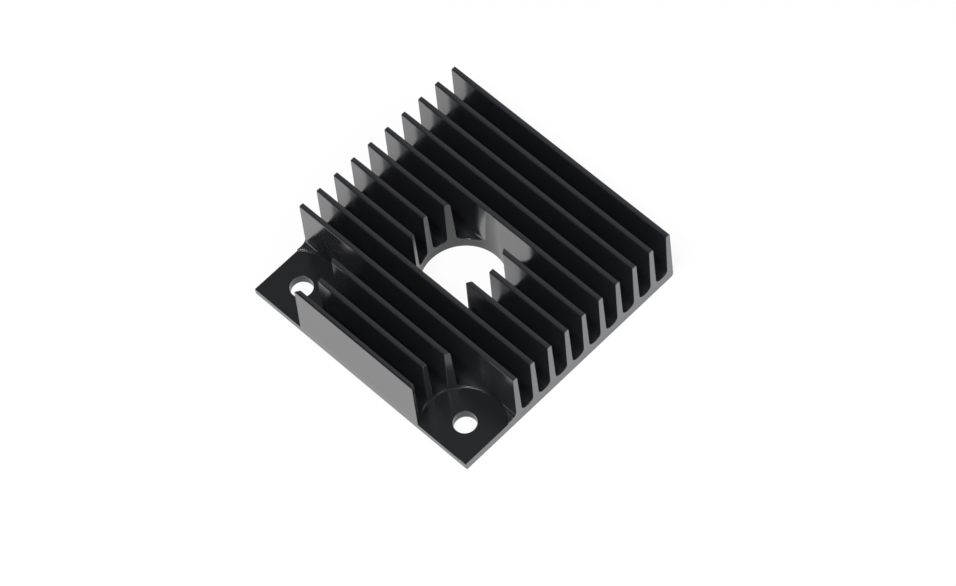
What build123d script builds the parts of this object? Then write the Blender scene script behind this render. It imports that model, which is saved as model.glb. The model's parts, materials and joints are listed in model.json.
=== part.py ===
from build123d import *
from build123d.topology import SkipClean
import os

# Extruder heat sink: one piece of black anodised aluminium, sawn from an extruded
# finned bar and then drilled and milled. X runs across the fins, Y along them and
# Z up to the fin tips. The origin is the centre of the mounting face under the plate.

# Extruded section, in millimetres. Its width is at the plate, where it is widest
section_width = 40.0
section_height = 11.0
plate_thickness = 1.8
fin_count = 13
fin_tip_thickness = 0.75
fin_root_thickness = 1.08
channel_root_radius = 0.95
fin_tip_radius = 0.2
lower_corner_radius = 0.5

# Length that is sawn from the bar, along the fins
sawn_length = 40.0

# Bore for the hub and the filament, through the plate and the fins over it
bore_diameter = 12.3

# Screw holes in the two corners on the -X side
screw_hole_diameter = 3.3
screw_spacing = 31.0
screw_edge_distance = 4.5

# Pocket round each screw hole, milled down through the fins and a little into the plate
pocket_cutter_diameter = 12.0
pocket_depth_in_plate = 0.25
pocket_outward_shift_x = 0.7
pocket_outward_shift_y = 0.3

# Sizes worked out from the ones above
channel_count = fin_count - 1
fin_pitch = (section_width - fin_root_thickness) / channel_count
width_at_tips = section_width - (fin_root_thickness - fin_tip_thickness)
channel_tip_width = fin_pitch - fin_tip_thickness
channel_root_width = fin_pitch - fin_root_thickness
inner_root_radius = min(channel_root_radius, 0.45 * channel_root_width)
inner_tip_radius = min(fin_tip_radius, 0.3 * fin_tip_thickness)
inner_corner_radius = min(lower_corner_radius, 0.6 * plate_thickness)
screw_x = -section_width / 2 + screw_edge_distance
screw_y = screw_spacing / 2
pocket_x = screw_x - pocket_outward_shift_x
pocket_y = screw_y + pocket_outward_shift_y
pocket_floor = plate_thickness - pocket_depth_in_plate
fin_root_top = plate_thickness + inner_root_radius

with BuildPart() as heat_sink:
    # Section of the bar: a plate with rounded lower corners and a row of tapered
    # channels over it, so every fin is thicker at the root, the two outermost too
    with BuildSketch(Plane.XZ) as section:
        with BuildLine():
            Polyline(
                (-section_width / 2, 0),
                (section_width / 2, 0),
                (section_width / 2, plate_thickness),
                (width_at_tips / 2, section_height),
                (-width_at_tips / 2, section_height),
                (-section_width / 2, plate_thickness),
                close=True,
            )
        make_face()
        fillet(section.vertices().group_by(Axis.Y)[0], inner_corner_radius)
        with BuildSketch(mode=Mode.PRIVATE) as channel:
            with BuildLine():
                Polyline(
                    (-channel_root_width / 2, plate_thickness),
                    (channel_root_width / 2, plate_thickness),
                    (channel_tip_width / 2, section_height),
                    (-channel_tip_width / 2, section_height),
                    close=True,
                )
            make_face()
            fillet(channel.vertices().group_by(Axis.Y)[0], inner_root_radius)
        with GridLocations(fin_pitch, 0, channel_count, 1):
            add(channel.sketch, mode=Mode.SUBTRACT)
        fillet(section.vertices().group_by(Axis.Y)[-1], inner_tip_radius)
    extrude(amount=sawn_length / 2, both=True)

    # The pockets take the ends of the first fins, open to the sides and the top
    with BuildSketch(Plane.XY.offset(pocket_floor)):
        with Locations((pocket_x, -pocket_y), (pocket_x, pocket_y)):
            Circle(pocket_cutter_diameter / 2)
    extrude(amount=section_height, mode=Mode.SUBTRACT)

    # The screw holes go through what is left of the plate
    with Locations((screw_x, -screw_y, 0), (screw_x, screw_y, 0)):
        Hole(screw_hole_diameter / 2)

    # The bore has one diameter all the way up. Through the plate and the fin roots its
    # wall is a ring, and above them it is only the cut ends of the upright fins, so
    # the ring and each cut end are kept as faces of their own
    with BuildSketch():
        Circle(bore_diameter / 2)
    extrude(amount=fin_root_top, mode=Mode.SUBTRACT)
    with BuildSketch(Plane.XY.offset(fin_root_top)):
        Circle(bore_diameter / 2)
    with SkipClean():
        extrude(amount=section_height - fin_root_top, mode=Mode.SUBTRACT, clean=False)

heat_sink.part.label = "heat_sink"

os.makedirs("parts", exist_ok=True)
export_step(heat_sink.part, "parts/heat_sink.step")
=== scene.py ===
import bpy
import json
import math
from functools import partial
from mathutils import Matrix, Vector


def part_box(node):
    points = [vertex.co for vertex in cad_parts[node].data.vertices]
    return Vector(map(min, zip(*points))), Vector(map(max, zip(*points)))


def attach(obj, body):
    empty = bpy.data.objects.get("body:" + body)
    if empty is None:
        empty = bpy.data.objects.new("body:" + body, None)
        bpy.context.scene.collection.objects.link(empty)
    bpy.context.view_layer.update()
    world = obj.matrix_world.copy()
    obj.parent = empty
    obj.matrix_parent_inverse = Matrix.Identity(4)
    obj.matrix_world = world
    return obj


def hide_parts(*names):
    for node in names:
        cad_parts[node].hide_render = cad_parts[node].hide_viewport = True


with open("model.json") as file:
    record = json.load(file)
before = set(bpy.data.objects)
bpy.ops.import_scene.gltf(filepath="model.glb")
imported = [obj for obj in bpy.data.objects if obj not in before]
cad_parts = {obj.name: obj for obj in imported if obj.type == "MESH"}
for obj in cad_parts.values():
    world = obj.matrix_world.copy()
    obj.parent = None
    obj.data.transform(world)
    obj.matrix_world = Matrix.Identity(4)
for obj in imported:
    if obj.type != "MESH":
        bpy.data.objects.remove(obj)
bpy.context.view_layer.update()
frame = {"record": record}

# Extruder heat sink: a black anodised finned plate on a white table. The shape is
# made in millimetres and brought to metres at the end, in the frame's own place.
MM = 0.001
NODE = "heat_sink"

# Sizes that the frame gives, in millimetres
low, high = (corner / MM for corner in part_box(NODE))
mounts = {mount["name"]: mount for mount in frame["record"]["mounts"]}
WIDTH = high.x - low.x
LENGTH = high.y - low.y
HEIGHT = high.z - low.z
BORE_RADIUS = mounts["bore"]["dims"]["r_mm"]
SCREW_RADIUS = mounts["screw_holes"]["dims"]["hole_r_mm"]
SCREW_X = mounts["screw_holes"]["pos_m"][0] / MM
SCREW_Y = mounts["screw_holes"]["dims"]["spacing_y_mm"] / 2

# The extruded section, in millimetres
PLATE = 1.8
FINS = 13
TIP_THICKNESS = 0.75
ROOT_THICKNESS = 1.08
ROOT_FILLET = 0.95
TIP_RADIUS = 0.2
LOWER_CORNER = 0.5

# The milled pockets, which stand a little further out than the screw holes
POCKET_RADIUS = 6.0
POCKET_DEPTH = 0.25
POCKET_SHIFT_X = 0.7
POCKET_SHIFT_Y = 0.3

# The broken edges, and how far a cut goes past the metal
EDGE_BREAK = 0.04
CUT_PAST = 1.0

# The distance under which two points are one, the angle in degrees past which an edge is
# sharp, how squarely a sawn end faces along the bar, and the facets of the round parts
WELD = 0.002
SHARP_ANGLE = 28
END_FACING = 0.9
FILLET_STEPS = 10
CORNER_STEPS = 4
EDGE_STEPS = 2
BORE_FACETS = 144
POCKET_FACETS = 160
SCREW_FACETS = 72

# The marks of the tools, by the width of one in millimetres, and the axis of the saw's
# blade. The real marks are finer, and these are as coarse as they need to be to show
DIE_LINE = 1 / 6
DIE_LINE_WIDTH_TO_LENGTH = 0.012
SAW_MARK = 0.25
SAW_AXIS = (-40.0, 0.0, 140.0)
POCKET_RING = 0.25
DRILL_LINE = 0.2

# Sizes worked out from the ones above
CHANNELS = FINS - 1
PITCH = (WIDTH - ROOT_THICKNESS) / CHANNELS
TAPER = (ROOT_THICKNESS - TIP_THICKNESS) / (HEIGHT - PLATE)
CHANNEL_HEIGHT = HEIGHT - PLATE + CUT_PAST
CHANNEL_ROOT = PITCH - ROOT_THICKNESS
CHANNEL_TOP = CHANNEL_ROOT + TAPER * CHANNEL_HEIGHT
POCKET_FLOOR = PLATE - POCKET_DEPTH
POCKET_X = SCREW_X - POCKET_SHIFT_X
POCKET_Y = SCREW_Y + POCKET_SHIFT_Y

# The camera, worked out from the photograph's straight edges. It looks at a point a little
# to the right of the part's middle and below it, in metres
CAMERA_AZIMUTH = -38.593
CAMERA_ELEVATION = 59.691
CAMERA_ROLL = -8.223
CAMERA_DISTANCE = 0.5653
CAMERA_LENS = 158.8
AIM_RIGHT = 0.00227
AIM_UP = -0.00384

# The table's side in metres, and the light as shares of white
TABLE_SIZE = 4.0
TABLE_GLOW = 0.9
MIRRORED_GLOW = 0.48
WALL_LIGHT = 0.32
CEILING_LEFT = 0.02
CEILING_RIGHT = 0.18
CEILING_FRONT = 1.25

# Where the light changes, as the X, Y and Z of a direction: from the left to the right,
# from the front to the back, and from the walls, 3 degrees up, to the ceiling, 14 degrees up
LEFT_TO_RIGHT = (0.0, 0.35)
FRONT_TO_BACK = (-0.4, 0.0)
WALL_TO_CEILING = (math.sin(math.radians(3)), math.sin(math.radians(14)))


def linear(code):
    """An sRGB hex colour as the linear values that a shader takes."""
    channels = [int(code[i:i + 2], 16) / 255 for i in (1, 3, 5)]
    return (*(c / 12.92 if c <= 0.04045 else ((c + 0.055) / 1.055) ** 2.4 for c in channels), 1.0)


def add(tree, kind, inputs=None, **settings):
    """Adds a node with its settings, and gives each input a value or a link.

    A link is a socket, or a node for its first output. A list links several to one input.
    """
    node = tree.nodes.new(kind)
    for key, value in settings.items():
        setattr(node, key, value)
    for key, value in (inputs or {}).items():
        for one in value if isinstance(value, list) else [value]:
            if isinstance(one, bpy.types.Node):
                one = one.outputs[0]
            if isinstance(one, bpy.types.NodeSocket):
                tree.links.new(one, node.inputs[key])
            else:
                node.inputs[key].default_value = one
    return node


def placed(name, data):
    """An object in the scene, at the origin."""
    made = bpy.data.objects.new(name, data)
    bpy.context.scene.collection.objects.link(made)
    return made


# Finishes

def finish_tree(name):
    """An empty material and its tree."""
    material = bpy.data.materials.new(name)
    material.use_nodes = True
    material.node_tree.nodes.clear()
    return material, material.node_tree


def anodised(name, colour, marks, roughness, depth_mm, ior):
    """Black anodised aluminium: a hard clear oxide film dyed black over the metal."""
    material, tree = finish_tree(name)
    place = add(tree, "ShaderNodeTexCoord").outputs["Object"]
    in_mm = add(tree, "ShaderNodeVectorMath", {0: place, 1: (1 / MM,) * 3}, operation="MULTIPLY")
    height = marks(tree, in_mm)
    bump = add(tree, "ShaderNodeBump", {"Height": height, "Strength": 1.0, "Distance": depth_mm * MM})
    film = {"Base Color": linear(colour), "Roughness": roughness, "IOR": ior, "Normal": bump}
    surface = add(tree, "ShaderNodeBsdfPrincipled", film)
    add(tree, "ShaderNodeOutputMaterial", {"Surface": surface})
    return material


def die_lines(tree, place):
    """Fine lines that the extrusion die leaves along the bar."""
    squeeze = (1.0, DIE_LINE_WIDTH_TO_LENGTH, 1.0)
    across = add(tree, "ShaderNodeVectorMath", {0: place, 1: squeeze}, operation="MULTIPLY")
    return add(tree, "ShaderNodeTexNoise", {"Vector": across, "Scale": 1 / DIE_LINE, "Detail": 3.0})


def tool_marks(tree, along, width):
    """Uneven ridges of about this width that follow each other along one measure."""
    pattern = {"W": along, "Scale": 1 / width, "Detail": 1.0}
    return add(tree, "ShaderNodeTexNoise", pattern, noise_dimensions="1D")


def saw_marks(tree, place):
    """Shallow arcs from the blade of the saw, which stood over the bar."""
    flat = add(tree, "ShaderNodeVectorMath", {0: place, 1: (1.0, 0.0, 1.0)}, operation="MULTIPLY")
    away = add(tree, "ShaderNodeVectorMath", {0: flat, 1: SAW_AXIS}, operation="DISTANCE")
    return tool_marks(tree, away.outputs["Value"], SAW_MARK)


def pocket_rings(tree, place):
    """Rings that the end mill left on the floor of each pocket, about the pocket's axis."""
    mirrored = add(tree, "ShaderNodeVectorMath", {0: place}, operation="ABSOLUTE")
    flat = add(tree, "ShaderNodeVectorMath", {0: mirrored, 1: (1.0, 1.0, 0.0)}, operation="MULTIPLY")
    axis = (abs(POCKET_X), POCKET_Y, 0.0)
    away = add(tree, "ShaderNodeVectorMath", {0: flat, 1: axis}, operation="DISTANCE")
    return tool_marks(tree, away.outputs["Value"], POCKET_RING)


def drill_lines(tree, place):
    """Lines round the wall of the bore and of each screw hole."""
    height = add(tree, "ShaderNodeSeparateXYZ", {0: place}).outputs["Z"]
    return tool_marks(tree, height, DRILL_LINE)


# Satin where the die smoothed the metal, rougher where the saw cut it, and a little duller
# where it was milled and bored. The sawn ends' lighter grey is partly their own rougher
# finish and partly painted light, which stands in for light falling on the end faces
extruded = anodised(
    "black_anodised_as_extruded", "#232428", die_lines, roughness=0.16, depth_mm=0.0015, ior=2.0
)
# The sawn ends' lighter grey #36373b is partly painted light on the end faces
sawn = anodised("black_anodised_sawn_painted_lighter", "#36373b", saw_marks, roughness=0.25, depth_mm=0.003, ior=2.0)
milled = anodised("black_anodised_milled", "#1b1c1f", pocket_rings, roughness=0.2, depth_mm=0.0012, ior=1.6)
bored = anodised("black_anodised_bored", "#1f2024", drill_lines, roughness=0.2, depth_mm=0.002, ior=1.5)


# The shape, as two trees of Geometry Nodes in millimetres

def shape_tree(obj, name, inputs):
    """Puts a new tree on an object, with its named inputs set, and gives the tree and those inputs."""
    tree = bpy.data.node_groups.new(name, "GeometryNodeTree")
    tree.interface.new_socket("Shape", in_out="OUTPUT", socket_type="NodeSocketGeometry")
    values = {}
    for kind, named in inputs.items():
        for key, value in named.items():
            socket = tree.interface.new_socket(key, in_out="INPUT", socket_type=kind)
            values[socket.identifier] = value
    maker = obj.modifiers.new(name, "NODES")
    maker.node_group = tree
    for identifier, value in values.items():
        if value is not None:
            maker[identifier] = value
    return tree, tree.nodes.new("NodeGroupInput").outputs


def finned_bar(obj):
    """The extruded bar: a block with a row of tapered channels that leaves the fins."""
    tree, given = shape_tree(obj, "finned_bar", {
        "NodeSocketFloat": {
            "Width": WIDTH,
            "Length": LENGTH,
            "Height": HEIGHT,
            "Plate": PLATE,
            "Pitch": PITCH,
            "Channel root": CHANNEL_ROOT,
            "Channel top": CHANNEL_TOP,
            "Channel height": CHANNEL_HEIGHT,
            "Root fillet": ROOT_FILLET,
            "Tip share": TIP_RADIUS / LOWER_CORNER,
        },
        "NodeSocketInt": {"Channels": CHANNELS},
        "NodeSocketMaterial": {"Extruded": extruded},
    })
    node = partial(add, tree)

    size = node("ShaderNodeCombineXYZ", {"X": given["Width"], "Y": given["Length"], "Z": given["Height"]})
    half_height = node("ShaderNodeMath", {0: given["Height"], 1: 0.5}, operation="MULTIPLY")
    middle = node("ShaderNodeCombineXYZ", {"Z": half_height})
    solid = node("GeometryNodeMeshCube", {"Size": size})
    block = node("GeometryNodeTransform", {"Geometry": solid, "Translation": middle})

    # One channel: a trapezium with its two lower corners rounded, run along the bar
    outline = node(
        "GeometryNodeCurvePrimitiveQuadrilateral",
        {
            "Bottom Width": given["Channel root"],
            "Top Width": given["Channel top"],
            "Height": given["Channel height"],
            "Offset": 0.0,
        },
        mode="TRAPEZOID",
    )
    place = node("ShaderNodeSeparateXYZ", {0: node("GeometryNodeInputPosition")}).outputs
    at_root = node("ShaderNodeMath", {0: place["Y"], 1: 0.0}, operation="LESS_THAN")
    radius = node("ShaderNodeMath", {0: at_root, 1: given["Root fillet"]}, operation="MULTIPLY")
    rounded = node(
        "GeometryNodeFilletCurve",
        {"Curve": outline, "Radius": radius, "Count": FILLET_STEPS, "Limit Radius": True},
        mode="POLY",
    )
    half_length = node("ShaderNodeMath", {0: given["Length"], 1: 0.5}, operation="MULTIPLY")
    reach = node("ShaderNodeMath", {0: half_length, 1: CUT_PAST}, operation="ADD")
    back = node("ShaderNodeMath", {0: reach, 1: -1.0}, operation="MULTIPLY")
    start = node("ShaderNodeCombineXYZ", {"Z": back})
    end = node("ShaderNodeCombineXYZ", {"Z": reach})
    run = node("GeometryNodeCurvePrimitiveLine", {"Start": start, "End": end})
    lying = node("GeometryNodeCurveToMesh", {"Curve": run, "Profile Curve": rounded, "Fill Caps": True})
    half_channel = node("ShaderNodeMath", {0: given["Channel height"], 1: 0.5}, operation="MULTIPLY")
    centre = node("ShaderNodeMath", {0: given["Plate"], 1: half_channel}, operation="ADD")
    raised = node("ShaderNodeCombineXYZ", {"Z": centre})
    quarter_turn = (math.radians(90), 0.0, 0.0)
    channel = node(
        "GeometryNodeTransform", {"Geometry": lying, "Translation": raised, "Rotation": quarter_turn}
    )

    # The row of channels, with one more past each side that gives the outer fins their taper
    steps = node("ShaderNodeMath", {0: given["Channels"], 1: 1.0}, operation="ADD")
    span = node("ShaderNodeMath", {0: steps, 1: given["Pitch"]}, operation="MULTIPLY")
    first = node("ShaderNodeMath", {0: span, 1: -0.5}, operation="MULTIPLY")
    row = node(
        "GeometryNodeMeshLine",
        {
            "Count": node("ShaderNodeMath", {0: given["Channels"], 1: 2.0}, operation="ADD"),
            "Start Location": node("ShaderNodeCombineXYZ", {"X": first}),
            "Offset": node("ShaderNodeCombineXYZ", {"X": given["Pitch"]}),
        },
    )
    copies = node("GeometryNodeInstanceOnPoints", {"Points": row, "Instance": channel})
    channels = node("GeometryNodeRealizeInstances", {"Geometry": copies})
    cut = node(
        "GeometryNodeMeshBoolean",
        {"Mesh 1": block, "Mesh 2": channels},
        operation="DIFFERENCE",
        solver="EXACT",
    )

    # The long edges that the die rounds, at the fin tips and under the plate, are marked
    # with their share of the lower corners' radius
    edge = node("GeometryNodeInputMeshEdgeVertices").outputs
    starts, ends = edge["Position 1"], edge["Position 2"]
    heights = [node("ShaderNodeSeparateXYZ", {0: one}).outputs["Z"] for one in (starts, ends)]
    below_tips = node("ShaderNodeMath", {0: given["Height"], 1: WELD}, operation="SUBTRACT")
    is_high = [node("ShaderNodeMath", {0: z, 1: below_tips}, operation="GREATER_THAN") for z in heights]
    is_low = [node("ShaderNodeMath", {0: z, 1: WELD}, operation="LESS_THAN") for z in heights]
    at_tips = node("ShaderNodeMath", {0: is_high[0], 1: is_high[1]}, operation="MULTIPLY")
    at_foot = node("ShaderNodeMath", {0: is_low[0], 1: is_low[1]}, operation="MULTIPLY")
    tip_share = node("ShaderNodeMath", {0: at_tips, 1: given["Tip share"]}, operation="MULTIPLY")
    share = node("ShaderNodeMath", {0: tip_share, 1: at_foot}, operation="ADD")
    way = node("ShaderNodeVectorMath", {0: starts, 1: ends}, operation="SUBTRACT")
    across = node("ShaderNodeSeparateXYZ", {0: way}).outputs["X"]
    apart = node("ShaderNodeMath", {0: across}, operation="ABSOLUTE")
    along_bar = node("ShaderNodeMath", {0: apart, 1: WELD}, operation="LESS_THAN")
    weight = node("ShaderNodeMath", {0: along_bar, 1: share}, operation="MULTIPLY")
    marked = node(
        "GeometryNodeStoreNamedAttribute",
        {"Geometry": cut, "Name": "bevel_weight_edge", "Value": weight},
        data_type="FLOAT",
        domain="EDGE",
    )
    whole = node("GeometryNodeRealizeInstances", {"Geometry": marked})
    finished = node("GeometryNodeSetMaterial", {"Geometry": whole, "Material": given["Extruded"]})
    node("NodeGroupOutput", {"Shape": finished})


def machined(obj):
    """What is sawn, drilled and milled: the two ends, the bore, the pockets and the holes."""
    tree, given = shape_tree(obj, "machined", {
        "NodeSocketGeometry": {"Before": None},
        "NodeSocketFloat": {
            "Length": LENGTH,
            "Height": HEIGHT,
            "Bore radius": BORE_RADIUS,
            "Pocket radius": POCKET_RADIUS,
            "Pocket floor": POCKET_FLOOR,
            "Pocket X": POCKET_X,
            "Pocket Y": POCKET_Y,
            "Screw radius": SCREW_RADIUS,
            "Screw X": SCREW_X,
            "Screw Y": SCREW_Y,
        },
        "NodeSocketMaterial": {"Sawn": sawn, "Milled": milled, "Bored": bored},
    })
    node = partial(add, tree)
    depth = node("ShaderNodeMath", {0: given["Height"], 1: 2.0}, operation="MULTIPLY")
    below = node("ShaderNodeMath", {0: given["Height"], 1: -0.5}, operation="MULTIPLY")

    def cutter(radius, facets, x, y, bottom, finish):
        """A round cutter that goes up from its bottom past the fin tips."""
        tool = node("GeometryNodeMeshCylinder", {"Vertices": facets, "Radius": radius, "Depth": depth})
        centre = node("ShaderNodeMath", {0: bottom, 1: given["Height"]}, operation="ADD")
        where = node("ShaderNodeCombineXYZ", {"X": x, "Y": y, "Z": centre})
        standing = node("GeometryNodeTransform", {"Geometry": tool, "Translation": where})
        return node("GeometryNodeSetMaterial", {"Geometry": standing, "Material": finish})

    tools = [cutter(given["Bore radius"], BORE_FACETS, 0.0, 0.0, below, given["Bored"])]
    for side in (-1.0, 1.0):
        pocket_y = node("ShaderNodeMath", {0: given["Pocket Y"], 1: side}, operation="MULTIPLY")
        screw_y = node("ShaderNodeMath", {0: given["Screw Y"], 1: side}, operation="MULTIPLY")
        pocket = (given["Pocket X"], pocket_y, given["Pocket floor"], given["Milled"])
        hole = (given["Screw X"], screw_y, below, given["Bored"])
        tools.append(cutter(given["Pocket radius"], POCKET_FACETS, *pocket))
        tools.append(cutter(given["Screw radius"], SCREW_FACETS, *hole))
    cut = node(
        "GeometryNodeMeshBoolean",
        {"Mesh 1": given["Before"], "Mesh 2": tools},
        operation="DIFFERENCE",
        solver="EXACT",
    )
    merged = node("GeometryNodeMergeByDistance", {"Geometry": cut, "Distance": WELD})

    # Every sharp edge is broken by the same small amount
    angle = node("GeometryNodeInputMeshEdgeAngle").outputs["Unsigned Angle"]
    sharp = node("ShaderNodeMath", {0: angle, 1: math.radians(SHARP_ANGLE)}, operation="GREATER_THAN")
    marked = node(
        "GeometryNodeStoreNamedAttribute",
        {"Geometry": merged, "Name": "bevel_weight_edge", "Value": sharp},
        data_type="FLOAT",
        domain="EDGE",
    )

    # Where a cutter only grazes a fin, the cut still ends in a crisp line. On an edge between
    # a face that a cutter made and another one, the mean of the two faces is a half
    by_mill = node("GeometryNodeMaterialSelection", {"Material": given["Milled"]})
    by_drill = node("GeometryNodeMaterialSelection", {"Material": given["Bored"]})
    by_cutter = node("ShaderNodeMath", {0: by_mill, 1: by_drill}, operation="ADD")
    on_face = node("GeometryNodeFieldOnDomain", {"Value": by_cutter}, domain="FACE", data_type="FLOAT")
    border = node("FunctionNodeCompare", {"A": on_face, "B": 0.5, "Epsilon": 0.1}, operation="EQUAL")
    crisp = node(
        "GeometryNodeStoreNamedAttribute",
        {"Geometry": marked, "Name": "sharp_edge", "Value": border},
        data_type="BOOLEAN",
        domain="EDGE",
    )

    # The two sawn ends take their own finish
    smooth = node("GeometryNodeSetShadeSmooth", {"Geometry": crisp, "Shade Smooth": True})
    whole = node("GeometryNodeRealizeInstances", {"Geometry": smooth})
    facing = node("ShaderNodeSeparateXYZ", {0: node("GeometryNodeInputNormal")}).outputs["Y"]
    squarely = node("ShaderNodeMath", {0: facing}, operation="ABSOLUTE")
    flat = node("ShaderNodeMath", {0: squarely, 1: END_FACING}, operation="GREATER_THAN")
    half_length = node("ShaderNodeMath", {0: given["Length"], 1: 0.5}, operation="MULTIPLY")
    far = node("ShaderNodeMath", {0: half_length, 1: WELD}, operation="SUBTRACT")
    along = node("ShaderNodeSeparateXYZ", {0: node("GeometryNodeInputPosition")}).outputs["Y"]
    distance = node("ShaderNodeMath", {0: along}, operation="ABSOLUTE")
    at_end = node("ShaderNodeMath", {0: distance, 1: far}, operation="GREATER_THAN")
    ends = node("ShaderNodeMath", {0: flat, 1: at_end}, operation="MULTIPLY")
    finished = node(
        "GeometryNodeSetMaterial", {"Geometry": whole, "Material": given["Sawn"], "Selection": ends}
    )
    node("NodeGroupOutput", {"Shape": finished})


def rounding(obj, width, steps):
    """Rounds the edges that the tree before it has marked."""
    rounded = obj.modifiers.new("rounded_edges", "BEVEL")
    rounded.limit_method = "WEIGHT"
    rounded.width = width
    rounded.segments = steps
    rounded.use_clamp_overlap = False


def heat_sink():
    """The whole part, as one plain mesh in metres."""
    body = placed("heat_sink_body", bpy.data.meshes.new("heat_sink_start"))
    finned_bar(body)
    rounding(body, LOWER_CORNER, CORNER_STEPS)
    machined(body)
    rounding(body, EDGE_BREAK, EDGE_STEPS)
    merging = body.modifiers.new("merged", "WELD")
    merging.merge_threshold = WELD / 2
    shading = body.modifiers.new("shading", "WEIGHTED_NORMAL")
    shading.keep_sharp = True
    seen = body.evaluated_get(bpy.context.evaluated_depsgraph_get())
    mesh = bpy.data.meshes.new_from_object(seen)
    mesh.name = "heat_sink_mesh"
    body.modifiers.clear()
    body.data = mesh

    # A rounding that ends in a thin corner may not pass the bar's own sides
    for vertex in mesh.vertices:
        vertex.co = [min(max(c, a), b) for c, a, b in zip(vertex.co, low, high)]
    mesh.transform(Matrix.Scale(MM, 4))
    return body


body = heat_sink()
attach(body, "root")
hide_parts(NODE)


# The table, the light and the camera

def white_table():
    """A white table: matte, with a glow of its own where the camera or a gloss sees it."""
    mesh = bpy.data.meshes.new("floor")
    half = TABLE_SIZE / 2
    corners = [(-half, -half, 0), (half, -half, 0), (half, half, 0), (-half, half, 0)]
    mesh.from_pydata(corners, [], [(0, 1, 2, 3)])
    floor = placed("floor", mesh)
    material, tree = finish_tree("white_table")
    node = partial(add, tree)
    ray = node("ShaderNodeLightPath").outputs
    seen = node("ShaderNodeMath", {0: ray["Is Camera Ray"], 1: TABLE_GLOW}, operation="MULTIPLY")
    mirrored = node(
        "ShaderNodeMath", {0: ray["Is Glossy Ray"], 1: ray["Is Transmission Ray"]}, operation="ADD"
    )
    share = node("ShaderNodeMath", {0: mirrored, 1: MIRRORED_GLOW, 2: seen}, operation="MULTIPLY_ADD")
    matte = node("ShaderNodeBsdfDiffuse", {"Color": linear("#f2f2f2")})
    glow = node("ShaderNodeEmission", {"Color": linear("#ffffff"), "Strength": 1.0})
    both = node("ShaderNodeMixShader", {0: share, 1: matte, 2: glow})
    node("ShaderNodeOutputMaterial", {"Surface": both})
    mesh.materials.append(material)


def way_to(azimuth, elevation):
    """The direction of a place, in degrees round from the part's front and up from the table."""
    turn, tilt = math.radians(azimuth), math.radians(elevation)
    return Vector((math.sin(turn) * math.cos(tilt), -math.cos(turn) * math.cos(tilt), math.sin(tilt)))


def soft_lamp(name, azimuth, elevation, distance, size, watts):
    """A round lamp that shines on the part."""
    data = bpy.data.lights.new(name, "AREA")
    data.shape = "DISK"
    data.size = size
    data.energy = watts
    lamp = placed(name, data)
    away = way_to(azimuth, elevation)
    lamp.location = away * distance
    lamp.rotation_euler = away.to_track_quat("Z", "Y").to_euler()


def studio_world():
    """Pale walls, and a ceiling that is pale at the front and dim at the back, the left most."""
    world = bpy.data.worlds.new("studio")
    bpy.context.scene.world = world
    world.use_nodes = True
    tree = world.node_tree
    tree.nodes.clear()
    node = partial(add, tree)
    sky = node("ShaderNodeTexCoord").outputs["Generated"]
    way = node("ShaderNodeSeparateXYZ", {0: sky}).outputs

    # Each change runs from a light of its own to what the changes before it give
    changes = (
        ("X", LEFT_TO_RIGHT, CEILING_LEFT),
        ("Y", FRONT_TO_BACK, CEILING_FRONT),
        ("Z", WALL_TO_CEILING, WALL_LIGHT),
    )
    light = CEILING_RIGHT
    for part, (start, end), first in changes:
        light = node(
            "ShaderNodeMapRange",
            {"Value": way[part], "From Min": start, "From Max": end, "To Min": first, "To Max": light},
            interpolation_type="SMOOTHSTEP",
        )
    glow = node("ShaderNodeBackground", {"Color": linear("#ffffff"), "Strength": light})
    node("ShaderNodeOutputWorld", {"Surface": glow})


def photo_camera():
    """The camera of the photograph, over the front left corner and rolled a little."""
    data = bpy.data.cameras.new("camera")
    data.lens = CAMERA_LENS
    data.clip_start = 0.05
    data.clip_end = 10.0
    camera = placed("camera", data)
    back = way_to(CAMERA_AZIMUTH, CAMERA_ELEVATION)
    roll = math.radians(CAMERA_ROLL)
    level = Vector((0, 0, 1)).cross(back).normalized()
    lifted = back.cross(level)
    right = level * math.cos(roll) + lifted * math.sin(roll)
    up = lifted * math.cos(roll) - level * math.sin(roll)
    aim = Vector((0, 0, HEIGHT / 2 * MM)) + right * AIM_RIGHT + up * AIM_UP
    place = Matrix((right, up, back)).transposed().to_4x4()
    place.translation = aim + back * CAMERA_DISTANCE
    camera.matrix_world = place
    bpy.context.scene.camera = camera


white_table()
studio_world()
soft_lamp("key", azimuth=-80, elevation=70, distance=0.9, size=0.34, watts=6.2)
photo_camera()
bpy.context.scene.view_settings.view_transform = "Standard"
